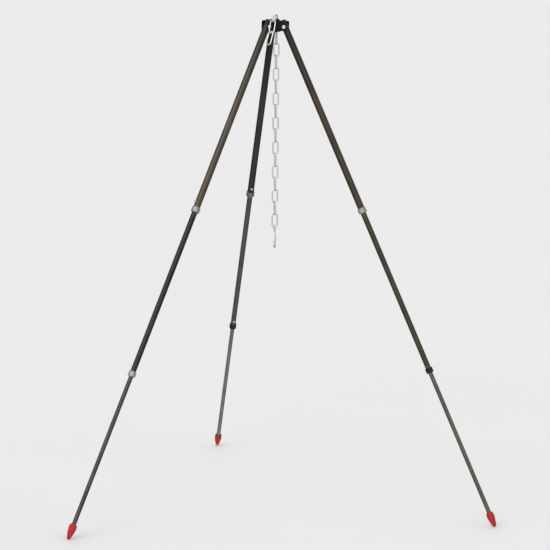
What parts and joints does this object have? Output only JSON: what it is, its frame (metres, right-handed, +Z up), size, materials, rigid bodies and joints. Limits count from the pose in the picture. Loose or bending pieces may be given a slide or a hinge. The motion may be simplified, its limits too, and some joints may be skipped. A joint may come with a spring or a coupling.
{
  "type": "telescopic campfire tripod",
  "caption": "Three-legged folding campfire tripod with telescopic snap-button legs, a bent-plate head, a hanging link chain and an open pot hook.",
  "frame": {"origin": "on the ground, under the vertical axis of the head, legs spread and fully drawn out", "axes": "+Z up; the back leg points to +Y, the other two to 210 and 330 degrees from +X; the chain notch in use faces -Y"},
  "size_m": [1.0162, 0.8815, 1.182],
  "materials": {
    "head_black": "satin black coated steel plate",
    "rivet_steel": "bright rivet steel",
    "zinc_chain": "bright zinc plated wire",
    "zinc_hook": "bright zinc plated wire",
    "tube_bronze": "dark bronze baked coating, satin",
    "tube_black": "black-brown baked coating, satin",
    "tube_grey": "dark grey baked coating, satin",
    "plug_grey": "moulded grey plastic",
    "collar_steel": "rolled steel, dull plated",
    "collar_black": "rolled steel, black coated",
    "button_steel": "plated steel pin",
    "spring_steel": "blued spring strip",
    "foot_red": "moulded red rubber, slightly glossy"
  },
  "bodies": {
    "hub": {"hub_plate_front": "head_black", "hub_plate_left": "head_black", "hub_plate_right": "head_black", "pivot_rivets": "rivet_steel", "chain_seat_link": "zinc_chain"},
    "left_leg": {"left_upper_tube": "tube_bronze", "left_top_plug": "plug_grey", "left_upper_collar": "collar_steel"},
    "left_middle": {"left_middle_tube": "tube_black", "left_lower_collar": "collar_steel", "left_upper_button_spring": "spring_steel"},
    "left_lower": {"left_lower_tube": "tube_grey", "left_foot_cap": "foot_red", "left_lower_button_spring": "spring_steel"},
    "left_upper_snap": {"left_upper_button": "button_steel"},
    "left_lower_snap": {"left_lower_button": "button_steel"},
    "right_leg": {"right_upper_tube": "tube_bronze", "right_top_plug": "plug_grey", "right_upper_collar": "collar_steel"},
    "right_middle": {"right_middle_tube": "tube_black", "right_lower_collar": "collar_black", "right_upper_button_spring": "spring_steel"},
    "right_lower": {"right_lower_tube": "tube_grey", "right_foot_cap": "foot_red", "right_lower_button_spring": "spring_steel"},
    "right_upper_snap": {"right_upper_button": "button_steel"},
    "right_lower_snap": {"right_lower_button": "button_steel"},
    "back_leg": {"back_upper_tube": "tube_bronze", "back_top_plug": "plug_grey", "back_upper_collar": "collar_steel"},
    "back_middle": {"back_middle_tube": "tube_black", "back_lower_collar": "collar_black", "back_upper_button_spring": "spring_steel"},
    "back_lower": {"back_lower_tube": "tube_grey", "back_foot_cap": "foot_red", "back_lower_button_spring": "spring_steel"},
    "back_upper_snap": {"back_upper_button": "button_steel"},
    "back_lower_snap": {"back_lower_button": "button_steel"},
    "chain_link_01": {"chain_link_01": "zinc_chain"},
    "chain_link_02": {"chain_link_02": "zinc_chain"},
    "chain_link_03": {"chain_link_03": "zinc_chain"},
    "chain_link_04": {"chain_link_04": "zinc_chain"},
    "chain_link_05": {"chain_link_05": "zinc_chain"},
    "chain_link_06": {"chain_link_06": "zinc_chain"},
    "chain_link_07": {"chain_link_07": "zinc_chain"},
    "chain_link_08": {"chain_link_08": "zinc_chain"},
    "chain_link_09": {"chain_link_09": "zinc_chain"},
    "chain_link_10": {"chain_link_10": "zinc_chain"},
    "chain_link_11": {"chain_link_11": "zinc_chain"},
    "chain_link_12": {"chain_link_12": "zinc_chain"},
    "chain_link_13": {"chain_link_13": "zinc_chain"},
    "chain_link_14": {"chain_link_14": "zinc_chain"},
    "chain_link_15": {"chain_link_15": "zinc_chain"},
    "chain_link_16": {"chain_link_16": "zinc_chain"},
    "chain_link_17": {"chain_link_17": "zinc_chain"},
    "hook": {"pot_hook": "zinc_hook"},
    "chain_tail_1": {"chain_tail_link_1": "zinc_chain"},
    "chain_tail_2": {"chain_tail_link_2": "zinc_chain"}
  },
  "joints": [
    {"name": "left_leg_fold", "type": "hinge", "parent": "hub", "child": "left_leg", "pos_m": [-0.02217, -0.0128, 1.1527], "axis": [0.5, -0.866, 0], "range_deg": [0, 24.8]},
    {"name": "left_middle_slide", "type": "slide", "parent": "left_leg", "child": "left_middle", "axis": [0.3772, 0.2178, 0.9002], "range_m": [0, 0.395], "stiffness_N_per_m": 100, "springref_m": -1, "deforming": ["left_upper_button", "left_upper_button_spring"]},
    {"name": "left_lower_slide", "type": "slide", "parent": "left_middle", "child": "left_lower", "axis": [0.3772, 0.2178, 0.9002], "range_m": [0, 0.355], "stiffness_N_per_m": 100, "springref_m": -1, "deforming": ["left_lower_button", "left_lower_button_spring"]},
    {"name": "left_upper_button_press", "type": "slide", "parent": "left_middle", "child": "left_upper_snap", "axis": [0.9251, -0.0432, -0.3772], "range_m": [0, 0.0041], "stiffness_N_per_m": 400, "springref_m": -0.002},
    {"name": "left_lower_button_press", "type": "slide", "parent": "left_lower", "child": "left_lower_snap", "axis": [0.9251, -0.0432, -0.3772], "range_m": [0, 0.0041], "stiffness_N_per_m": 400, "springref_m": -0.002},
    {"name": "right_leg_fold", "type": "hinge", "parent": "hub", "child": "right_leg", "pos_m": [0.02217, -0.0128, 1.1527], "axis": [0.5, 0.866, 0], "range_deg": [0, 24.8]},
    {"name": "right_middle_slide", "type": "slide", "parent": "right_leg", "child": "right_middle", "axis": [-0.3772, 0.2178, 0.9002], "range_m": [0, 0.395], "stiffness_N_per_m": 100, "springref_m": -1, "deforming": ["right_upper_button", "right_upper_button_spring"]},
    {"name": "right_lower_slide", "type": "slide", "parent": "right_middle", "child": "right_lower", "axis": [-0.3772, 0.2178, 0.9002], "range_m": [0, 0.355], "stiffness_N_per_m": 100, "springref_m": -1, "deforming": ["right_lower_button", "right_lower_button_spring"]},
    {"name": "right_upper_button_press", "type": "slide", "parent": "right_middle", "child": "right_upper_snap", "axis": [-0.5, -0.866, 0], "range_m": [0, 0.0041], "stiffness_N_per_m": 400, "springref_m": -0.002},
    {"name": "right_lower_button_press", "type": "slide", "parent": "right_lower", "child": "right_lower_snap", "axis": [-0.5, -0.866, 0], "range_m": [0, 0.0041], "stiffness_N_per_m": 400, "springref_m": -0.002},
    {"name": "back_leg_fold", "type": "hinge", "parent": "hub", "child": "back_leg", "pos_m": [0, 0.0256, 1.1527], "axis": [-1, 0, 0], "range_deg": [0, 24.8]},
    {"name": "back_middle_slide", "type": "slide", "parent": "back_leg", "child": "back_middle", "axis": [0, -0.4355, 0.9002], "range_m": [0, 0.395], "stiffness_N_per_m": 100, "springref_m": -1, "deforming": ["back_upper_button", "back_upper_button_spring"]},
    {"name": "back_lower_slide", "type": "slide", "parent": "back_middle", "child": "back_lower", "axis": [0, -0.4355, 0.9002], "range_m": [0, 0.355], "stiffness_N_per_m": 100, "springref_m": -1, "deforming": ["back_lower_button", "back_lower_button_spring"]},
    {"name": "back_upper_button_press", "type": "slide", "parent": "back_middle", "child": "back_upper_snap", "axis": [0, 0.9002, 0.4355], "range_m": [0, 0.0041], "stiffness_N_per_m": 400, "springref_m": -0.002},
    {"name": "back_lower_button_press", "type": "slide", "parent": "back_lower", "child": "back_lower_snap", "axis": [0, 0.9002, 0.4355], "range_m": [0, 0.0041], "stiffness_N_per_m": 400, "springref_m": -0.002},
    {"name": "chain_link_01_swing", "type": "hinge", "parent": "hub", "child": "chain_link_01", "pos_m": [0.003, -0.003, 1.1727], "axis": [0.9998, 0, 0.0205], "range_deg": [-1.5, 3]},
    {"name": "chain_link_02_swing", "type": "hinge", "parent": "chain_link_01", "child": "chain_link_02", "pos_m": [0.00366, -0.00314, 1.14041], "axis": [-0.9998, 0, -0.0205], "range_deg": [-12, 12]},
    {"name": "chain_link_03_swing", "type": "hinge", "parent": "chain_link_02", "child": "chain_link_03", "pos_m": [0.00426, -0.00327, 1.11141], "axis": [0, 1, -0.0044], "range_deg": [-6, 6]},
    {"name": "chain_link_04_swing", "type": "hinge", "parent": "chain_link_03", "child": "chain_link_04", "pos_m": [0.00485, -0.0034, 1.08242], "axis": [0.9998, 0, 0.0205], "range_deg": [-12, 12]},
    {"name": "chain_link_05_swing", "type": "hinge", "parent": "chain_link_04", "child": "chain_link_05", "pos_m": [0.00544, -0.00353, 1.05343], "axis": [0, -1, 0.0044], "range_deg": [-12, 12]},
    {"name": "chain_link_06_swing", "type": "hinge", "parent": "chain_link_05", "child": "chain_link_06", "pos_m": [0.00604, -0.00366, 1.02443], "axis": [-0.9998, 0, -0.0205], "range_deg": [-12, 12]},
    {"name": "chain_link_07_swing", "type": "hinge", "parent": "chain_link_06", "child": "chain_link_07", "pos_m": [0.00663, -0.00378, 0.99544], "axis": [0, 1, -0.0044], "range_deg": [-12, 12]},
    {"name": "chain_link_08_swing", "type": "hinge", "parent": "chain_link_07", "child": "chain_link_08", "pos_m": [0.00722, -0.00391, 0.96644], "axis": [0.9998, 0, 0.0205], "range_deg": [-12, 12]},
    {"name": "chain_link_09_swing", "type": "hinge", "parent": "chain_link_08", "child": "chain_link_09", "pos_m": [0.00782, -0.00404, 0.93745], "axis": [0, -1, 0.0044], "range_deg": [-12, 12]},
    {"name": "chain_link_10_swing", "type": "hinge", "parent": "chain_link_09", "child": "chain_link_10", "pos_m": [0.00841, -0.00417, 0.90846], "axis": [-0.9998, 0, -0.0205], "range_deg": [-12, 12]},
    {"name": "chain_link_11_swing", "type": "hinge", "parent": "chain_link_10", "child": "chain_link_11", "pos_m": [0.009, -0.0043, 0.87946], "axis": [0, 1, -0.0044], "range_deg": [-12, 12]},
    {"name": "chain_link_12_swing", "type": "hinge", "parent": "chain_link_11", "child": "chain_link_12", "pos_m": [0.0096, -0.00443, 0.85047], "axis": [0.9998, 0, 0.0205], "range_deg": [-12, 12]},
    {"name": "chain_link_13_swing", "type": "hinge", "parent": "chain_link_12", "child": "chain_link_13", "pos_m": [0.01019, -0.00455, 0.82148], "axis": [0, -1, 0.0044], "range_deg": [-12, 12]},
    {"name": "chain_link_14_swing", "type": "hinge", "parent": "chain_link_13", "child": "chain_link_14", "pos_m": [0.01078, -0.00468, 0.79248], "axis": [-0.9998, 0, -0.0205], "range_deg": [-12, 12]},
    {"name": "chain_link_15_swing", "type": "hinge", "parent": "chain_link_14", "child": "chain_link_15", "pos_m": [0.01138, -0.00481, 0.76349], "axis": [0, 1, -0.0044], "range_deg": [-12, 12]},
    {"name": "chain_link_16_swing", "type": "hinge", "parent": "chain_link_15", "child": "chain_link_16", "pos_m": [0.01197, -0.00494, 0.7345], "axis": [0.9998, 0, 0.0205], "range_deg": [-12, 12]},
    {"name": "chain_link_17_swing", "type": "hinge", "parent": "chain_link_16", "child": "chain_link_17", "pos_m": [0.01257, -0.00507, 0.7055], "axis": [0, -1, 0.0044], "range_deg": [-12, 12]},
    {"name": "hook_swing", "type": "hinge", "parent": "chain_link_17", "child": "hook", "pos_m": [0.01316, -0.00519, 0.67651], "axis": [-0.9998, 0, -0.0205], "range_deg": [-25, 25]},
    {"name": "chain_tail_1_swing", "type": "hinge", "parent": "hub", "child": "chain_tail_1", "pos_m": [-0.0084, -0.02125, 1.16813], "axis": [-0.9583, -0.1301, 0.2544], "range_deg": [0, 12]},
    {"name": "chain_tail_2_swing", "type": "hinge", "parent": "chain_tail_1", "child": "chain_tail_2", "pos_m": [-0.01487, -0.03189, 1.13832], "axis": [-0.9583, -0.1301, 0.2544], "range_deg": [-6, 6]}
  ]
}
